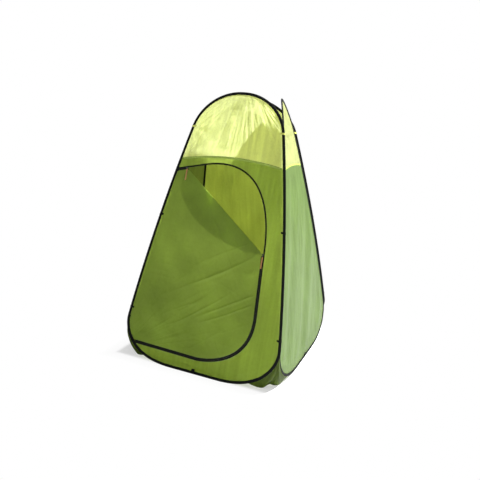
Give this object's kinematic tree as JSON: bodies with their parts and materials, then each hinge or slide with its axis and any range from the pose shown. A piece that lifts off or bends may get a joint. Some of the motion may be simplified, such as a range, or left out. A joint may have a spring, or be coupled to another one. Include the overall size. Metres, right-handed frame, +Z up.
{
  "type": "pop-up toilet tent",
  "caption": "Free-standing pop-up privacy tent with sprung hoop walls, yellow-green fabric, black piped edges, an open top and a half-zipped D-shaped door.",
  "frame": {"origin": "on the ground under the middle of the tent", "axes": "+Z up, the door wall faces -Y, +X to the right seen from the front"},
  "size_m": [1.231, 1.3072, 1.9012],
  "materials": {
    "spring_steel": "drawn spring wire",
    "black_binding": "woven webbing, sewn",
    "green_fabric": "thin coated plain weave",
    "yellow_fabric": "thin coated plain weave",
    "dark_green_fabric": "thin coated plain weave",
    "zip_black": "woven tape with moulded coil teeth",
    "slider_metal": "die cast, lacquered",
    "pull_brown": "stitched strip"
  },
  "bodies": {
    "front_wall": {"hoop_front": "spring_steel", "hoop_sleeve_front": "spring_steel", "binding_front": "black_binding", "front_surround": "green_fabric", "door_hinge_strip": "green_fabric", "upper_panel_front": "yellow_fabric", "seam_tape_front": "green_fabric", "zip_tape_surround": "zip_black", "peg_loop_front": "black_binding", "corner_gusset_front_right": "dark_green_fabric", "corner_tab_front_right_high": "yellow_fabric", "corner_tab_front_right_mid": "black_binding", "corner_tab_front_right_low": "black_binding", "corner_gusset_front_left": "dark_green_fabric", "corner_tab_front_left_high": "yellow_fabric", "corner_tab_front_left_mid": "black_binding", "corner_tab_front_left_low": "black_binding"},
    "right_wall": {"hoop_right": "spring_steel", "hoop_sleeve_right": "spring_steel", "binding_right": "black_binding", "lower_panel_right": "green_fabric", "upper_panel_right": "yellow_fabric", "seam_tape_right": "green_fabric", "peg_loop_right": "black_binding", "corner_gusset_back_right": "dark_green_fabric", "corner_tab_back_right_high": "yellow_fabric", "corner_tab_back_right_mid": "black_binding", "corner_tab_back_right_low": "black_binding"},
    "back_wall": {"hoop_back": "spring_steel", "hoop_sleeve_back": "spring_steel", "binding_back": "black_binding", "lower_panel_back": "green_fabric", "upper_panel_back": "yellow_fabric", "seam_tape_back": "green_fabric", "peg_loop_back": "black_binding", "corner_gusset_back_left": "dark_green_fabric", "corner_tab_back_left_high": "yellow_fabric", "corner_tab_back_left_mid": "black_binding", "corner_tab_back_left_low": "black_binding"},
    "left_wall": {"hoop_left": "spring_steel", "hoop_sleeve_left": "spring_steel", "binding_left": "black_binding", "lower_panel_left": "green_fabric", "upper_panel_left": "yellow_fabric", "seam_tape_left": "green_fabric", "peg_loop_left": "black_binding"},
    "door": {"door_panel": "green_fabric", "zip_tape_door_top": "zip_black", "zip_tape_door_side": "zip_black"},
    "flap": {"door_flap": "green_fabric", "zip_tape_flap": "zip_black"},
    "slider_top": {"zip_slider_top": "slider_metal"},
    "slider_side": {"zip_slider_side": "slider_metal"},
    "pull_top": {"zip_pull_top": "pull_brown"},
    "pull_side": {"zip_pull_side": "pull_brown"}
  },
  "joints": [
    {"name": "right_fold", "type": "hinge", "parent": "front_wall", "child": "right_wall", "pos_m": [0.45055, -0.34191, 0.958], "axis": [-0.1711, 0.2986, 0.9389], "range_deg": [0, 60], "stiffness_Nm_per_rad": 8, "deforming": ["corner_gusset_front_right", "corner_tab_front_right_high", "corner_tab_front_right_mid", "corner_tab_front_right_low"]},
    {"name": "back_fold", "type": "hinge", "parent": "right_wall", "child": "back_wall", "pos_m": [0.4932, 0.34691, 0.958], "axis": [-0.1644, -0.2989, 0.94], "range_deg": [-56, 0], "deforming": ["corner_gusset_back_right", "corner_tab_back_right_high", "corner_tab_back_right_mid", "corner_tab_back_right_low", "corner_gusset_back_left", "corner_tab_back_left_high", "corner_tab_back_left_mid", "corner_tab_back_left_low"]},
    {"name": "left_fold", "type": "hinge", "parent": "front_wall", "child": "left_wall", "pos_m": [-0.4932, -0.34691, 0.958], "axis": [0.1644, 0.2989, 0.94], "range_deg": [0, 66], "deforming": ["corner_gusset_front_left", "corner_tab_front_left_high", "corner_tab_front_left_mid", "corner_tab_front_left_low"]},
    {"name": "door_swing", "type": "hinge", "parent": "front_wall", "child": "door", "pos_m": [-0.56782, -0.56472, 0.2807], "axis": [-0.1524, -0.298, -0.9423], "range_deg": [0, 110]},
    {"name": "flap_fold", "type": "hinge", "parent": "door", "child": "flap", "pos_m": [0.35338, -0.38281, 0.85191], "axis": [0.794, -0.185, -0.579], "range_deg": [0, 130]},
    {"name": "side_slider_run", "type": "slide", "parent": "front_wall", "child": "slider_side", "axis": [0.0552, -0.3004, -0.9522], "range_m": [0, 0.25]},
    {"name": "top_slider_run", "type": "slide", "parent": "front_wall", "child": "slider_top", "axis": [0.9717, 0.0725, 0.2248], "range_m": [0, 0.12]},
    {"name": "side_pull_swing", "type": "hinge", "parent": "slider_side", "child": "pull_side", "pos_m": [0.35338, -0.38758, 0.85342], "axis": [-1, 0, 0], "range_deg": [0, 150]},
    {"name": "top_pull_swing", "type": "hinge", "parent": "slider_top", "child": "pull_top", "pos_m": [-0.33162, -0.22793, 1.35299], "axis": [0, -0.3068, -0.9518], "range_deg": [0, 150]}
  ],
  "couplings": [
    {"joint": "back_fold", "follows": "right_fold", "ratio": -0.93},
    {"joint": "left_fold", "follows": "right_fold", "ratio": 1.1}
  ]
}
